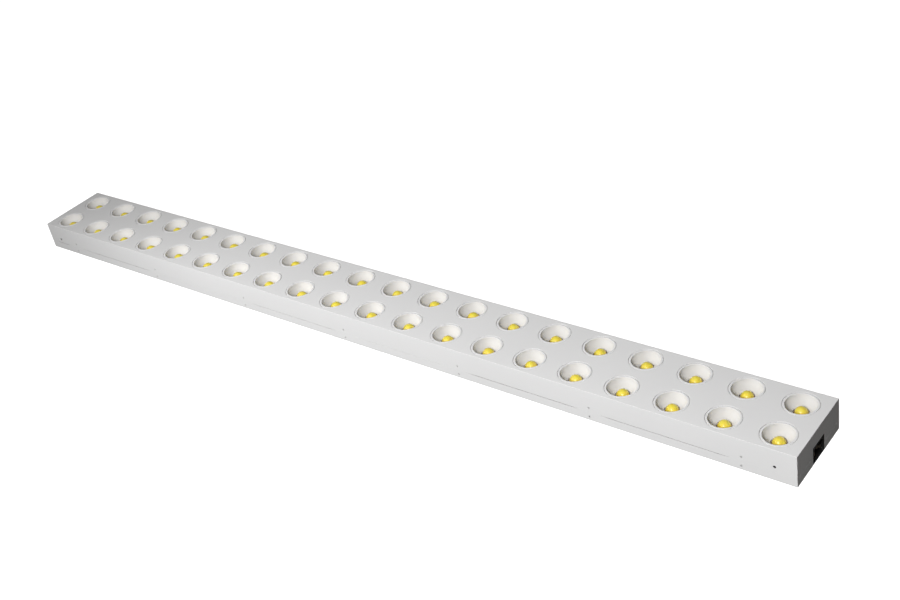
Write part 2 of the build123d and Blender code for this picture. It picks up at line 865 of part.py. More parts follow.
def build():
    """Every node's name with its separate solids."""
    nodes = {
        "front_tray": [front_tray()],
        "rear_tray": [rear_tray()],
        "joint_plates": joint_plates(),
        "joint_rivets": joint_rivets(),
        "mounting_nuts": mounting_nuts(),
        "heat_spreader": [heat_spreader()],
        "support_posts": support_posts(),
        "post_screws": post_screws(),
        "board_screws": board_screws(),
        "board_connectors": board_connectors(),
        "wire_grommets": wire_grommets(),
        "feed_terminals": feed_terminals(),
        "insulation_sheets": insulation_sheets(),
        "tray_studs": tray_studs(),
        "driver_nuts": driver_nuts(),
        "inlet_body": [inlet_body()],
        "inlet_pins": inlet_pins(),
        "inlet_bracket": [inlet_bracket()],
        "inlet_studs": inlet_studs(),
        "inlet_nuts": inlet_nuts(),
        "terminal_block": [terminal_block()],
        "terminal_screws": terminal_screws(),
        "live_leads": mains_leads(-1),
        "neutral_leads": mains_leads(1),
        "earth_lead": [earth_lead()],
        "ring_terminal": [ring_terminal()],
        "earth_nut": [nut(earth_x, earth_y, sheet + ring_thickness)],
        "output_leads": output_leads(),
        "cable_clips": cable_clips(),
    }
    cup, carrier, lens = reflector(), emitter(), dome()
    for board in range(board_count):
        number = board + 1
        nodes[f"led_board_{number}"] = [led_board(board)]
        nodes[f"led_reflectors_{number}"] = at_leds(board, cup)
        nodes[f"led_emitters_{number}"] = at_leds(board, carrier)
        nodes[f"led_domes_{number}"] = at_leds(board, lens)
    for number, x in enumerate(driver_xs, start=1):
        nodes[f"driver_{number}_base"] = [driver_base(x)]
        nodes[f"driver_{number}_cover"] = [driver_cover(x)]
        nodes[f"driver_{number}_board"] = [driver_board(x)]
        nodes[f"driver_{number}_transformer"] = [driver_transformer(x)]
        nodes[f"driver_{number}_capacitors"] = driver_capacitors(x)
    return nodes


def save(node, pieces):
    solids = [solid for piece in pieces for solid in piece.solids()]
    export_step(Compound(solids), f"parts/{node}.step")


os.makedirs("parts", exist_ok=True)
for node, pieces in build().items():
    save(node, pieces)
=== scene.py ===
"""Looks of the LED strip batten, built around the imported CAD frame.

Everything is in metres in the CAD frame: +X along the batten to the mains inlet, +Z out of the
lit face, origin at the centre of the back face.
"""
import json
import math
import random

import bpy
import bmesh
from mathutils import Matrix, Vector


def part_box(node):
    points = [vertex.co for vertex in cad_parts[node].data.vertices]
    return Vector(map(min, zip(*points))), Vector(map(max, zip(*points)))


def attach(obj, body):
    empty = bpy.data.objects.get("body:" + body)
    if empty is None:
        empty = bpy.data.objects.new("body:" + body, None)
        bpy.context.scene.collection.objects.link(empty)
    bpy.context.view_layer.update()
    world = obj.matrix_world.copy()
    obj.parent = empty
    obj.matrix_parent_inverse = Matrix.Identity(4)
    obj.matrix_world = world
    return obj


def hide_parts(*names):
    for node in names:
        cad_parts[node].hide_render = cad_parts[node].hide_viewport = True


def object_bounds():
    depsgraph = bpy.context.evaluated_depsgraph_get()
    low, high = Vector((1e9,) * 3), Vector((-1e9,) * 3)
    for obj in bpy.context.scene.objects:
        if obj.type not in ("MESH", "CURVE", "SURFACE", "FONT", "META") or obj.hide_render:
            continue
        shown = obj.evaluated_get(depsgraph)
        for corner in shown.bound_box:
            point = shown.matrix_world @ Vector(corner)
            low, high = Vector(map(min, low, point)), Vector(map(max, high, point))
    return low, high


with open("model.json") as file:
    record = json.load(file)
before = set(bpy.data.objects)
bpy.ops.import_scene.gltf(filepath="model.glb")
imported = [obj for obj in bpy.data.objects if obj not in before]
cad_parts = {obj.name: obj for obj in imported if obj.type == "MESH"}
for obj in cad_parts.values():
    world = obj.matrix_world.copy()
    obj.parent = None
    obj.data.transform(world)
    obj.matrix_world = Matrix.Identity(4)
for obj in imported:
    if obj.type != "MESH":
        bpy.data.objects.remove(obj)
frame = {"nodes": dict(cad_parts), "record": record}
cad_low, cad_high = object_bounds()

MM = 0.001
BODY_CENTRE_Z = (cad_low.z + cad_high.z) / 2
BODY_HALF = (cad_high - cad_low) / 2

# How far the powder coat wraps inwards from the outside faces; further in, the dark grey that paints the
# seam shade begins
COAT_WRAP = Vector((0.18 * MM, 0.18 * MM, 1.25 * MM))

# The LED grid, as in the CAD model
BOARD_COUNT = 5
COLUMNS_PER_BOARD = 4
LED_PITCH = 60 * MM
ROW_Y = 26 * MM
PLATE_Z = cad_high.z
BOARD_TOP_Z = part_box("led_board_1")[1].z

# Reflector bowls: radii, and depths below the lit face
LIP_RADIUS = 16.6 * MM
LIP_EDGE = 0.3 * MM
RIM_RADIUS = 18.8 * MM
RIM_EDGE = 0.35 * MM
RIM_DEPTH = 0.1 * MM
FOOT_RADIUS = 8.8 * MM
FOOT_DEPTH = 11.2 * MM
FOOT_EDGE = 0.25 * MM
BOWL_BULGE = 1.9 * MM
CUP_WALL = 1.2 * MM
SHOULDER_RADIUS = 21.2 * MM
SHOULDER_DEPTH = 1.25 * MM
SHOULDER_THICKNESS = 1.3 * MM
SEAT_PLAY = 0.15 * MM
CUP_STEPS = 96
BOWL_LEVELS = 28
BACK_LEVELS = 8
RIM_LEVELS = 6

# The bowl's painted shade gives way to the rim's own white: the white starts this far below the rim's top
# and is complete this far below it
BOWL_SHADE_FULL_DEPTH = 2.5 * LIP_EDGE
BOWL_SHADE_GONE_DEPTH = 0.5 * LIP_EDGE

# LED domes
DOME_RADIUS = 7.2 * MM
DOME_FOOT_RADIUS = 7.1 * MM
DOME_SEAT_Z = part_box("led_emitters_1")[1].z
DOME_TOP_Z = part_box("led_domes_1")[1].z
DOME_STEPS = 64
DOME_LEVELS = 24

# Rivets and mounting nuts in the long side walls
RIVET_RADIUS = 1.17 * MM
RIVET_RECESS = 0.3 * MM
RIVET_CROWN = 0.12 * MM
RIVET_CORE_RADIUS = 0.55 * MM
RIVET_CORE_DEPTH = 0.5 * MM
RIVET_LENGTH = 4.2 * MM
RIVET_SPACING = 180 * MM
RIVET_COLUMNS = 7
RIVET_HEIGHTS = (5.5 * MM, 17.3 * MM)
RIVET_STEPS = 32
STEM_TIP_RISE = 0.15 * MM
STEM_TIP_RADIUS = 0.3 * RIVET_CORE_RADIUS
STEM_SHOULDER_RISE = 0.1 * MM
CROWN_BEVEL = 0.05 * MM
CROWN_DROP = 0.1 * MM
CROWN_DISH = -0.06 * MM
CROWN_LEVELS = 6
NUT_X = 576 * MM
NUT_Z = 18 * MM
NUT_RADIUS = 3.2 * MM
NUT_FACE_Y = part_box("mounting_nuts")[1].y
NUT_HEIGHT = 3.0 * MM
NUT_EDGE = 0.3 * MM
THREAD_PITCH = 0.5 * MM
THREAD_CREST_RADIUS = 1.25 * MM
THREAD_DEPTH = 0.27 * MM
THREAD_STEPS = 48
THREAD_LEVELS = 60
THREAD_FADE_LEVELS = 6

# Moulded and stamped pieces
INLET_BEVEL = 0.3 * MM
PIN_BEVEL = 0.2 * MM
BEVEL_STEPS = 3
SHARP_ANGLE = math.radians(40.0)
BEVEL_ANGLE = math.radians(30.0)
FLAT_ANGLE = math.radians(1.0)


# ---------------------------------------------------------------- materials

class Finish:
    """A node material that grows one node at a time."""

    def __init__(self, name, **settings):
        self.material = bpy.data.materials.new(name)
        self.material.use_nodes = True
        self.nodes = self.material.node_tree.nodes
        self.links = self.material.node_tree.links
        self.shader = self.nodes["Principled BSDF"]
        self.place = self.add("ShaderNodeTexCoord").outputs["Object"]
        for socket, value in settings.items():
            self.shader.inputs[socket.replace("_", " ")].default_value = value

    def add(self, kind, **properties):
        node = self.nodes.new(kind)
        for key, value in properties.items():
            setattr(node, key, value)
        return node

    def link(self, source, target):
        self.links.new(source, target)

    def stretched(self, scale):
        """The object's coordinates, scaled differently along X, Y and Z."""
        mapping = self.add("ShaderNodeMapping")
        mapping.inputs["Scale"].default_value = scale
        self.link(self.place, mapping.inputs["Vector"])
        return mapping.outputs["Vector"]

    def noise(self, scale, detail=3.0, roughness=0.5, stretch=None):
        node = self.add("ShaderNodeTexNoise")
        node.inputs["Scale"].default_value = scale
        node.inputs["Detail"].default_value = detail
        node.inputs["Roughness"].default_value = roughness
        self.link(self.stretched(stretch) if stretch else self.place, node.inputs["Vector"])
        return node.outputs["Fac"]

    def cells(self, scale):
        node = self.add("ShaderNodeTexVoronoi")
        node.inputs["Scale"].default_value = scale
        self.link(self.place, node.inputs["Vector"])
        return node.outputs["Distance"]

    def ramp(self, value, *stops):
        """A colour ramp through (position, colour) stops."""
        node = self.add("ShaderNodeValToRGB")
        elements = node.color_ramp.elements
        while len(elements) < len(stops):
            elements.new(0.5)
        for element, (position, colour) in zip(elements, stops):
            element.position = position
            element.color = (*colour, 1.0)
        self.link(value, node.inputs["Fac"])
        return node.outputs["Color"]

    def math(self, operation, first, second):
        """A maths node of two values; the second may be a plain number."""
        node = self.add("ShaderNodeMath", operation=operation)
        self.link(first, node.inputs[0])
        if isinstance(second, float):
            node.inputs[1].default_value = second
        else:
            self.link(second, node.inputs[1])
        return node.outputs["Value"]

    def blend(self, factor, first, second):
        """The first colour where the factor is 0, the second where it is 1."""
        node = self.add("ShaderNodeMix", data_type="RGBA")
        self.link(factor, node.inputs["Factor"])
        self.link(first, node.inputs["A"])
        self.link(second, node.inputs["B"])
        return node.outputs["Result"]

    def spread(self, value, low, high):
        """The value's middle range, remapped to low..high."""
        node = self.add("ShaderNodeMapRange")
        node.inputs["From Min"].default_value = 0.3
        node.inputs["From Max"].default_value = 0.7
        node.inputs["To Min"].default_value = low
        node.inputs["To Max"].default_value = high
        self.link(value, node.inputs["Value"])
        return node.outputs["Result"]

    def colour(self, value):
        self.link(value, self.shader.inputs["Base Color"])
        return self

    def rough(self, value, low, high):
        self.link(self.spread(value, low, high), self.shader.inputs["Roughness"])
        return self

    def bump(self, *layers):
        """Stacks (height, distance in metres, strength) layers of bump."""
        normal = None
        for height, distance, strength in layers:
            node = self.add("ShaderNodeBump")
            node.inputs["Distance"].default_value = distance
            node.inputs["Strength"].default_value = strength
            self.link(height, node.inputs["Height"])
            if normal is not None:
                self.link(normal, node.inputs["Normal"])
            normal = node.outputs["Normal"]
        self.link(normal, self.shader.inputs["Normal"])
        return self


def shade(colour, factor):
    return tuple(min(1.0, channel * factor) for channel in colour)


def housing_white():
    """White powder coat on the outside of the trays; inside them and on the sheet's edges a dark grey, the
    uncoated sheet's colour darkened further to paint the shade in the seam gaps between the trays.
    """
    base = (0.80, 0.80, 0.80)
    # dark grey of the uncoated sheet, darkened to paint the shade in the seam gaps
    sheet_and_seam_shade = (0.20, 0.195, 0.19)
    finish = Finish("powder_coat_white", IOR=1.5, Specular_IOR_Level=0.25)
    inset = finish.add("ShaderNodeVectorMath", operation="SUBTRACT")
    inset.inputs[1].default_value = (0.0, 0.0, BODY_CENTRE_Z)
    finish.link(finish.place, inset.inputs[0])
    outward = finish.add("ShaderNodeVectorMath", operation="ABSOLUTE")
    finish.link(inset.outputs["Vector"], outward.inputs[0])
    depth = finish.add("ShaderNodeVectorMath", operation="SUBTRACT")
    depth.inputs[1].default_value = BODY_HALF - COAT_WRAP
    finish.link(outward.outputs["Vector"], depth.inputs[0])
    axes = finish.add("ShaderNodeSeparateXYZ")
    finish.link(depth.outputs["Vector"], axes.inputs["Vector"])
    nearest = finish.math("MAXIMUM", axes.outputs["X"], axes.outputs["Y"])
    nearest = finish.math("MAXIMUM", nearest, axes.outputs["Z"])
    coated = finish.math("GREATER_THAN", nearest, 0.0)
    cloud = finish.ramp(finish.noise(9.0, 4.0), (0.3, shade(base, 0.975)), (0.7, base))
    # the inner dark grey: the sheet's own colour and also painted shade for the seam gaps
    uncoated_and_seam_shade = finish.ramp(finish.noise(400.0, 3.0), (0.3, shade(sheet_and_seam_shade, 0.8)), (0.7, sheet_and_seam_shade))
    finish.colour(finish.blend(coated, uncoated_and_seam_shade, cloud))
    finish.rough(finish.noise(60.0, 2.0), 0.48, 0.56)
    return finish.bump((finish.noise(1500.0, 2.0), 0.00004, 0.25), (finish.noise(350.0, 1.0), 0.00006, 0.12))


def reflector_white():
    """Satin moulded plastic with a very fine mould grain, whiter on its rim than in the bowl, where painted
    shade and painted warm bounced light darken and warm the colour.
    """
    # the bowl's colour is painted darker and warmer than the rim's white: painted shade and painted warm
    # light bounced off the domes
    bowl = (0.674, 0.665, 0.653)
    rim = (0.725, 0.725, 0.725)
    finish = Finish("reflector_plastic", IOR=1.49, Specular_IOR_Level=0.2, Diffuse_Roughness=0.25,
                    Subsurface_Weight=0.05, Subsurface_Scale=0.002)
    finish.shader.inputs["Subsurface Radius"].default_value = (1.0, 0.8, 0.6)
    height = finish.add("ShaderNodeSeparateXYZ")
    finish.link(finish.place, height.inputs["Vector"])
    level = finish.add("ShaderNodeMapRange")
    level.inputs["From Min"].default_value = PLATE_Z - RIM_DEPTH - BOWL_SHADE_FULL_DEPTH
    level.inputs["From Max"].default_value = PLATE_Z - RIM_DEPTH - BOWL_SHADE_GONE_DEPTH
    finish.link(height.outputs["Z"], level.inputs["Value"])
    cloud = finish.noise(140.0, 3.0)
    bowl_shade_tone = finish.ramp(cloud, (0.3, shade(bowl, 0.98)), (0.7, bowl))
    rim_tone = finish.ramp(cloud, (0.3, shade(rim, 0.99)), (0.7, rim))
    finish.colour(finish.blend(level.outputs["Result"], bowl_shade_tone, rim_tone))
    finish.rough(finish.noise(300.0, 2.0), 0.66, 0.78)
    return finish.bump((finish.noise(2600.0, 2.0), 0.00002, 0.2))


def phosphor_yellow():
    """Satin silicone over yellow phosphor, deeper in colour towards its foot."""
    finish = Finish("phosphor_silicone", IOR=1.43, Coat_Weight=0.25, Coat_Roughness=0.2,
                    Subsurface_Weight=0.25, Subsurface_Scale=0.002)
    finish.shader.inputs["Subsurface Radius"].default_value = (1.0, 0.7, 0.1)
    height = finish.add("ShaderNodeSeparateXYZ")
    finish.link(finish.place, height.inputs["Vector"])
    level = finish.add("ShaderNodeMapRange")
    level.inputs["From Min"].default_value = DOME_SEAT_Z
    level.inputs["From Max"].default_value = DOME_TOP_Z
    finish.link(height.outputs["Z"], level.inputs["Value"])
    grain = finish.add("ShaderNodeMath", operation="MULTIPLY_ADD")
    grain.inputs[1].default_value = 0.25
    finish.link(finish.noise(420.0, 3.0), grain.inputs[0])
    finish.link(level.outputs["Result"], grain.inputs[2])
    finish.colour(finish.ramp(grain.outputs["Value"], (0.0, (0.76, 0.40, 0.05)), (0.35, (0.85, 0.63, 0.06)),
                              (1.0, (0.86, 0.72, 0.09))))
    finish.rough(finish.noise(250.0, 2.0), 0.28, 0.42)
    return finish.bump((finish.noise(500.0, 2.0), 0.00003, 0.15), (finish.noise(900.0, 2.0), 0.0001, 0.4))


def speckled(name, base, roughness, scale, contrast=0.9, metallic=0.0, bump=0.2):
    """A finely grained surface with a little colour variation."""
    finish = Finish(name, Metallic=metallic)
    finish.colour(finish.ramp(finish.noise(scale, 3.0), (0.3, shade(base, contrast)), (0.7, base)))
    finish.rough(finish.noise(scale * 2.0, 2.0), roughness - 0.06, roughness + 0.06)
    return finish.bump((finish.noise(scale * 4.0, 2.0), 0.00003, bump))


def zinc_steel():
    """Zinc plating with its pale spangle and fine scratches."""
    finish = Finish("zinc_plate", Metallic=1.0)
    finish.colour(finish.ramp(finish.cells(260.0), (0.2, (0.52, 0.54, 0.56)), (0.8, (0.70, 0.71, 0.72))))
    finish.rough(finish.cells(300.0), 0.28, 0.44)
    return finish.bump((finish.noise(900.0, 2.0, stretch=(0.1, 1.0, 1.0)), 0.00002, 0.2))


def brushed(name, base, roughness, stretch=(0.03, 1.0, 1.0), scale=1400.0):
    """Metal with fine straight brush lines."""
    finish = Finish(name, Metallic=1.0)
    lines = finish.noise(scale, 3.0, stretch=stretch)
    finish.colour(finish.ramp(lines, (0.3, shade(base, 0.86)), (0.7, base)))
    finish.rough(lines, roughness - 0.08, roughness + 0.08)
    return finish.bump((lines, 0.00002, 0.25))


def circuit_board(name, base, track):
    """Solder mask with faint raised tracks under it."""
    finish = Finish(name, IOR=1.5)
    tracks = finish.add("ShaderNodeTexBrick", offset=0.35, squash=0.6)
    tracks.inputs["Scale"].default_value = 90.0
    tracks.inputs["Mortar Size"].default_value = 0.035
    tracks.inputs["Color1"].default_value = (*base, 1.0)
    tracks.inputs["Color2"].default_value = (*shade(base, 0.94), 1.0)
    tracks.inputs["Mortar"].default_value = (*track, 1.0)
    finish.link(finish.place, tracks.inputs["Vector"])
    finish.colour(tracks.outputs["Color"])
    finish.rough(finish.noise(200.0, 2.0), 0.28, 0.4)
    return finish.bump((tracks.outputs["Fac"], 0.00003, 0.4))


def wound_tape(name, base):
    """Turns of coil tape, a band every half millimetre."""
    finish = Finish(name)
    bands = finish.add("ShaderNodeTexWave", wave_type="BANDS", bands_direction="Z")
    bands.inputs["Scale"].default_value = 320.0
    finish.link(finish.place, bands.inputs["Vector"])
    finish.colour(finish.ramp(bands.outputs["Fac"], (0.0, shade(base, 0.6)), (1.0, base)))
    finish.rough(finish.noise(400.0, 2.0), 0.3, 0.5)
    return finish.bump((bands.outputs["Fac"], 0.00008, 0.5))


def fibre_paper(name, base):
    """Pressed insulation paper with a tangle of fibres."""
    finish = Finish(name)
    fibres = finish.noise(500.0, 6.0, 0.75, stretch=(1.0, 0.3, 1.0))
    finish.colour(finish.ramp(fibres, (0.35, shade(base, 0.8)), (0.65, base)))
    finish.rough(fibres, 0.75, 0.9)
    return finish.bump((fibres, 0.00006, 0.4))


FINISHES = {
    "housing_white": housing_white(),
    "zinc_steel": zinc_steel(),
    # the nuts' near-black is black oxide's colour and also painted shade in the mounting holes
    "blackened_steel": speckled("black_oxide_and_hole_shade", (0.015, 0.015, 0.015), 0.5, 900.0, 0.7, metallic=0.6),
    "rivet_steel": brushed("rivet_head", (0.78, 0.78, 0.77), 0.55, stretch=(1.0, 1.0, 1.0), scale=2500.0),
    "reflector_white": reflector_white(),
    # the LED carriers are painted dark brown, darker than the white part, as painted shade in the gap around
    # each dome's foot
    "led_carrier_white": speckled("led_carrier", (0.32, 0.21, 0.13), 0.6, 700.0, 0.85),
    "phosphor_yellow": phosphor_yellow(),
    "board_white": circuit_board("solder_mask_white", (0.78, 0.78, 0.75), (0.68, 0.68, 0.66)),
    "spreader_aluminium": brushed("mill_aluminium", (0.80, 0.81, 0.82), 0.34),
    "driver_case_metal": brushed("driver_sheet", (0.72, 0.73, 0.74), 0.4),
    "circuit_board_green": circuit_board("solder_mask_green", (0.02, 0.16, 0.06), (0.05, 0.26, 0.10)),
    "coil_tape_amber": wound_tape("coil_tape", (0.62, 0.36, 0.05)),
    "capacitor_black": speckled("capacitor_sleeve", (0.02, 0.025, 0.05), 0.25, 500.0, 0.8),
    "inlet_black": speckled("inlet_plastic", (0.012, 0.012, 0.012), 0.42, 900.0, 0.8),
    # the pins' metal is darkened and browned: painted shade inside the socket over the plating's own colour
    "pin_nickel": brushed("pin_nickel", (0.42, 0.36, 0.29), 0.3),
    "terminal_natural": speckled("terminal_polyamide", (0.72, 0.70, 0.62), 0.45, 500.0),
    "connector_white": speckled("connector_polyamide", (0.80, 0.80, 0.76), 0.4, 500.0),
    "lead_brown": speckled("lead_brown", (0.14, 0.055, 0.02), 0.4, 600.0),
    "lead_blue": speckled("lead_blue", (0.02, 0.07, 0.32), 0.4, 600.0),
    "lead_green": speckled("lead_green", (0.12, 0.36, 0.03), 0.4, 600.0),
    "lead_red": speckled("lead_red", (0.42, 0.02, 0.015), 0.4, 600.0),
    "insulation_paper": fibre_paper("insulation_paper", (0.62, 0.56, 0.42)),
    "grommet_rubber": speckled("grommet_rubber", (0.02, 0.02, 0.02), 0.75, 700.0, 0.7, bump=0.4),
    "clip_nylon": speckled("clip_nylon", (0.76, 0.76, 0.70), 0.45, 500.0),
}


def paint_cad_nodes():
    """Every CAD node takes the finish of its material slot in the record."""
    for part in frame["record"]["subparts"]:
        mesh = frame["nodes"][part["node"]].data
        mesh.materials.clear()
        mesh.materials.append(FINISHES[part["material_slot"]].material)


# ---------------------------------------------------------------- pieces

def arc(start, end, bulge, steps):
    """Points on an arc from start to end in the (radius, height) plane; the bulge is to the right."""
    start, end = Vector(start), Vector(end)
    chord = end - start
    half = chord.length / 2
    radius = (half * half + bulge * bulge) / (2 * bulge)
    right = Vector((chord.y, -chord.x)).normalized()
    centre = (start + end) / 2 + right * (bulge - radius)
    sweep = 2 * math.asin(half / radius)
    first = start - centre
    return [centre + Matrix.Rotation(sweep * i / steps, 2) @ first for i in range(steps + 1)]


def rounded(corner, before, after, radius, steps=4):
    """Points that round a square corner between the directions towards before and after."""
    corner = Vector(corner)
    arrive = (Vector(before) - corner).normalized() * radius
    leave = (Vector(after) - corner).normalized() * radius
    centre = corner + arrive + leave
    turns = [math.pi / 2 * i / steps for i in range(steps + 1)]
    return [centre - leave * math.cos(turn) - arrive * math.sin(turn) for turn in turns]


def add_rings(shape, profile, steps, place, closed):
    """Adds one ring of vertices per (radius, height) point, joined by faces.

    A closed profile's last ring joins its first; an open one starts or ends at a point on the axis.
    """
    rings = []
    for radius, height in profile:
        if radius < 1e-9:
            rings.append([shape.verts.new(place @ Vector((0.0, 0.0, height)))])
            continue
        turns = [2 * math.pi * i / steps for i in range(steps)]
        points = [Vector((radius * math.cos(turn), radius * math.sin(turn), height)) for turn in turns]
        rings.append([shape.verts.new(place @ point) for point in points])
    pairs = list(zip(rings, rings[1:]))
    if closed:
        pairs.append((rings[-1], rings[0]))
    for lower, upper in pairs:
        for i in range(steps):
            corners = [lower[i % len(lower)], lower[(i + 1) % steps % len(lower)],
                       upper[(i + 1) % steps % len(upper)], upper[i % len(upper)]]
            shape.faces.new(list(dict.fromkeys(corners)))
    return rings


def finish_piece(name, shape, slot, nodes):
    """Makes a piece of the mesh, which stands for the CAD nodes and takes the slot's finish."""
    bmesh.ops.recalc_face_normals(shape, faces=shape.faces)
    mesh = bpy.data.meshes.new(name)
    shape.to_mesh(mesh)
    shape.free()
    mesh.shade_smooth()
    mesh.set_sharp_from_angle(angle=SHARP_ANGLE)
    mesh.materials.append(FINISHES[slot].material)
    piece = bpy.data.objects.new(name, mesh)
    bpy.context.scene.collection.objects.link(piece)
    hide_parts(*nodes)
    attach(piece, "root")


def board_leds(board):
    """The eight LED centres on one board."""
    board_x = LED_PITCH * COLUMNS_PER_BOARD * (board - (BOARD_COUNT - 1) / 2)
    columns = [board_x + LED_PITCH * (i - (COLUMNS_PER_BOARD - 1) / 2) for i in range(COLUMNS_PER_BOARD)]
    return [(x, y) for x in columns for y in (-ROW_Y, ROW_Y)]


def cup_profile():
    """The moulded bowl's outline, from its foot up the inside, over the rim and down the outside."""
    rim_z = PLATE_Z - RIM_DEPTH
    bowl_z = PLATE_Z - FOOT_DEPTH
    shoulder_z = PLATE_Z - SHOULDER_DEPTH
    under_z = shoulder_z - SHOULDER_THICKNESS
    foot = [(FOOT_RADIUS, BOARD_TOP_Z), (FOOT_RADIUS, bowl_z - FOOT_EDGE)]
    bowl = arc((FOOT_RADIUS, bowl_z), (LIP_RADIUS, rim_z - LIP_EDGE), BOWL_BULGE, BOWL_LEVELS)
    lip = rounded((LIP_RADIUS, rim_z), (LIP_RADIUS, 0.0), (1.0, rim_z), LIP_EDGE)
    rim = rounded((RIM_RADIUS, rim_z), (0.0, rim_z), (RIM_RADIUS, 0.0), RIM_EDGE, RIM_LEVELS)
    neck = LIP_RADIUS + 1.5 * CUP_WALL
    back = arc((FOOT_RADIUS + CUP_WALL, bowl_z - CUP_WALL / 2), (neck, under_z), BOWL_BULGE, BACK_LEVELS)
    return (foot + bowl + lip[1:] + rim
            + [(RIM_RADIUS, shoulder_z), (SHOULDER_RADIUS, shoulder_z), (SHOULDER_RADIUS, under_z)]
            + back[::-1] + [(FOOT_RADIUS + CUP_WALL, BOARD_TOP_Z)])


def reflectors():
    """Forty bowls, each seated a little differently in its hole."""
    draw = random.Random(11)
    for board in range(BOARD_COUNT):
        shape = bmesh.new()
        for x, y in board_leds(board):
            heading = draw.uniform(0.0, 2 * math.pi)
            play = SEAT_PLAY * draw.uniform(0.2, 1.0)
            centre = Vector((x + play * math.cos(heading), y + play * math.sin(heading), 0.0))
            add_rings(shape, cup_profile(), CUP_STEPS, Matrix.Translation(centre), True)
        number = board + 1
        finish_piece(f"reflector_bowls_{number}", shape, "reflector_white", [f"led_reflectors_{number}"])


def domes():
    """The LEDs' silicone domes, with a slight swell above the foot."""
    height = DOME_TOP_Z - DOME_SEAT_Z
    ball_radius = (DOME_RADIUS ** 2 + height ** 2) / (2 * height)
    centre_z = DOME_TOP_Z - ball_radius
    lowest = math.asin((DOME_SEAT_Z - centre_z) / ball_radius)
    turns = [lowest + (math.pi / 2 - lowest) * i / DOME_LEVELS for i in range(DOME_LEVELS)]
    cap = [(ball_radius * math.cos(turn), centre_z + ball_radius * math.sin(turn)) for turn in turns]
    profile = [(0.0, DOME_SEAT_Z), (DOME_FOOT_RADIUS, DOME_SEAT_Z)] + cap[1:] + [(0.0, DOME_TOP_Z)]
    for board in range(BOARD_COUNT):
        shape = bmesh.new()
        for x, y in board_leds(board):
            add_rings(shape, profile, DOME_STEPS, Matrix.Translation((x, y, 0.0)), False)
        number = board + 1
        finish_piece(f"silicone_domes_{number}", shape, "phosphor_yellow", [f"led_domes_{number}"])


def outward(x, side, z, face_y):
    """Places a turned shape so that its axis points out of a long side wall."""
    return Matrix.Translation((x, side * face_y, z)) @ Matrix.Rotation(-side * math.pi / 2, 4, "X")


def rivets():
    """Blind rivets: a shallow crown around the broken stem."""
    face = cad_high.y - RIVET_RECESS
    stem = -RIVET_CORE_DEPTH
    crown_inner = RIVET_CORE_RADIUS + 2 * CROWN_BEVEL
    profile = ([(0.0, stem + STEM_TIP_RISE), (STEM_TIP_RADIUS, stem + STEM_SHOULDER_RISE),
                (RIVET_CORE_RADIUS, stem), (RIVET_CORE_RADIUS, RIVET_CROWN - CROWN_BEVEL),
                (RIVET_CORE_RADIUS + CROWN_BEVEL, RIVET_CROWN)]
               + arc((crown_inner, RIVET_CROWN), (RIVET_RADIUS, -CROWN_DROP), CROWN_DISH, CROWN_LEVELS)
               + [(RIVET_RADIUS, -RIVET_LENGTH), (0.0, -RIVET_LENGTH)])
    shape = bmesh.new()
    for column in range(RIVET_COLUMNS):
        x = RIVET_SPACING * (column - (RIVET_COLUMNS - 1) / 2)
        for side in (-1, 1):
            for z in RIVET_HEIGHTS:
                add_rings(shape, profile, RIVET_STEPS, outward(x, side, z, face), False)
    finish_piece("blind_rivets", shape, "rivet_steel", ["joint_rivets"])


def nuts():
    """Clinch nuts behind the mounting holes, with an M3 thread cut in the bore."""
    crest = THREAD_CREST_RADIUS
    levels = THREAD_LEVELS
    bore = [(crest, -NUT_HEIGHT * i / levels) for i in range(levels + 1)]
    outside = (rounded((NUT_RADIUS, -NUT_HEIGHT), (0.0, -NUT_HEIGHT), (NUT_RADIUS, 0.0), NUT_EDGE)
               + rounded((NUT_RADIUS, 0.0), (NUT_RADIUS, -1.0), (0.0, 0.0), NUT_EDGE))
    shape = bmesh.new()
    for x in (-NUT_X, NUT_X):
        for side in (-1, 1):
            place = outward(x, side, NUT_Z, NUT_FACE_Y)
            rings = add_rings(shape, bore + outside, THREAD_STEPS, place, True)
            for level, ring in enumerate(rings[1:levels], start=1):
                fade = min(1.0, level / THREAD_FADE_LEVELS, (levels - level) / THREAD_FADE_LEVELS)
                for i, vert in enumerate(ring):
                    phase = (NUT_HEIGHT * level / levels / THREAD_PITCH + i / THREAD_STEPS) % 1.0
                    radius = crest + fade * THREAD_DEPTH * (1.0 - abs(2.0 * phase - 1.0))
                    turn = 2 * math.pi * i / THREAD_STEPS
                    vert.co = place @ Vector((radius * math.cos(turn), radius * math.sin(turn),
                                              -NUT_HEIGHT * level / levels))
    finish_piece("clinch_nuts", shape, "blackened_steel", ["mounting_nuts"])


def softened(name, node, slot, width):
    """A copy of a CAD node whose sharp edges are rounded, as moulding or stamping leaves them."""
    shape = bmesh.new()
    shape.from_mesh(frame["nodes"][node].data)
    bmesh.ops.remove_doubles(shape, verts=shape.verts, dist=1e-6)
    bmesh.ops.dissolve_limit(shape, angle_limit=FLAT_ANGLE, verts=shape.verts, edges=shape.edges)
    sharp = [edge for edge in shape.edges if edge.calc_face_angle(0.0) > BEVEL_ANGLE]
    bmesh.ops.bevel(shape, geom=sharp, offset=width, segments=BEVEL_STEPS, profile=0.5, affect="EDGES",
                    clamp_overlap=True)
    finish_piece(name, shape, slot, [node])


# ---------------------------------------------------------------- stage

CAMERA_PLACE = Vector((1.00764, -0.91625, 0.88912))
CAMERA_HEADING = math.radians(43.364)
CAMERA_TILT = math.radians(56.950)
CAMERA_ROLL = math.radians(-11.454)
CAMERA_LENS = 50.742
FLOOR_HALF = 8.0
FLOOR_GAP = 0.0002


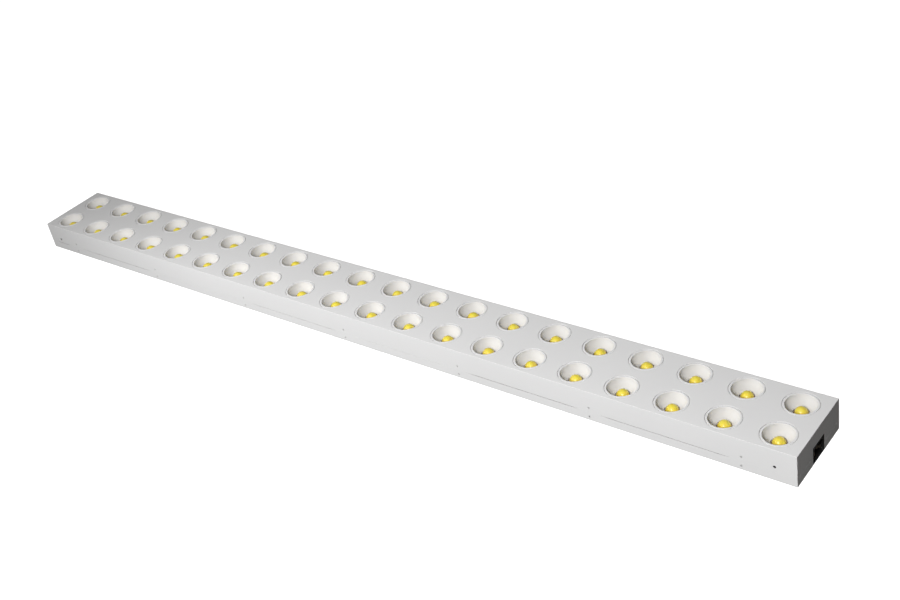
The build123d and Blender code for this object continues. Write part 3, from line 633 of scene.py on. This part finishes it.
def place_camera():
    camera = bpy.data.objects.new("camera", bpy.data.cameras.new("camera"))
    camera.data.sensor_width = 36.0
    camera.data.lens = CAMERA_LENS
    camera.matrix_world = (Matrix.Translation(CAMERA_PLACE) @ Matrix.Rotation(CAMERA_HEADING, 4, "Z")
                           @ Matrix.Rotation(CAMERA_TILT, 4, "X") @ Matrix.Rotation(CAMERA_ROLL, 4, "Z"))
    bpy.context.scene.collection.objects.link(camera)
    bpy.context.scene.camera = camera


def softbox(name, place, target, width, height, power):
    light = bpy.data.lights.new(name, "AREA")
    light.shape = "RECTANGLE"
    light.size = width
    light.size_y = height
    light.energy = power
    lamp = bpy.data.objects.new(name, light)
    lamp.location = place
    lamp.rotation_euler = (Vector(target) - Vector(place)).to_track_quat("-Z", "Y").to_euler()
    bpy.context.scene.collection.objects.link(lamp)


def light_studio():
    """A soft key beside the camera, two fills above, and low strips level with the back and the left end."""
    softbox("key", (0.7, -0.9, 0.8), (0.4, 0.0, 0.03), 0.35, 0.35, 12.6)
    softbox("left_fill", (-0.295, -0.531, 0.43), (0.15, 0.0, 0.03), 0.5, 0.5, 3.9)
    softbox("overhead", (0.272, -0.689, 1.242), (0.15, 0.0, 0.03), 0.5, 0.5, 2.6)
    softbox("back_strip", (-0.1, 1.2, 0.05), (-0.1, 0.0, 0.02), 1.8, 0.08, 11.0)
    softbox("end_strip", (-1.5, 0.1, 0.05), (-0.6, 0.0, 0.02), 0.6, 0.08, 5.0)
    world = bpy.data.worlds.new("studio")
    world.use_nodes = True
    world.node_tree.nodes["Background"].inputs["Color"].default_value = (1.0, 0.94, 0.88, 1.0)
    world.node_tree.nodes["Background"].inputs["Strength"].default_value = 0.05
    bpy.context.scene.world = world
    bpy.context.scene.view_settings.view_transform = "Standard"


def pale_finish(name):
    """Matt studio white, softly glowing."""
    finish = Finish(name, Roughness=0.9, Specular_IOR_Level=0.1)
    finish.colour(finish.ramp(finish.noise(3.0, 3.0), (0.3, (0.93, 0.93, 0.93)), (0.7, (0.95, 0.95, 0.95))))
    finish.shader.inputs["Emission Color"].default_value = (1.0, 1.0, 1.0, 1.0)
    finish.shader.inputs["Emission Strength"].default_value = 0.97
    return finish.material


def stage_piece(name, shape, height):
    """A stage surface that is seen but doesn't throw its own light back on the batten."""
    mesh = bpy.data.meshes.new(name)
    shape.to_mesh(mesh)
    shape.free()
    mesh.materials.append(pale_finish(f"{name}_white"))
    surface = bpy.data.objects.new(name, mesh)
    surface.location.z = height
    surface.visible_diffuse = False
    surface.visible_glossy = False
    surface.visible_shadow = False
    bpy.context.scene.collection.objects.link(surface)


def lay_floor():
    """A pale floor under the batten, and a pale backdrop far around it."""
    plane = bmesh.new()
    bmesh.ops.create_grid(plane, x_segments=8, y_segments=8, size=FLOOR_HALF)
    stage_piece("floor", plane, cad_low.z - FLOOR_GAP)
    backdrop = bmesh.new()
    bmesh.ops.create_icosphere(backdrop, subdivisions=4, radius=FLOOR_HALF)
    stage_piece("backdrop", backdrop, 0.0)


paint_cad_nodes()
reflectors()
domes()
rivets()
nuts()
softened("inlet_shell", "inlet_body", "inlet_black", INLET_BEVEL)
softened("inlet_blades", "inlet_pins", "pin_nickel", PIN_BEVEL)
place_camera()
light_studio()
lay_floor()
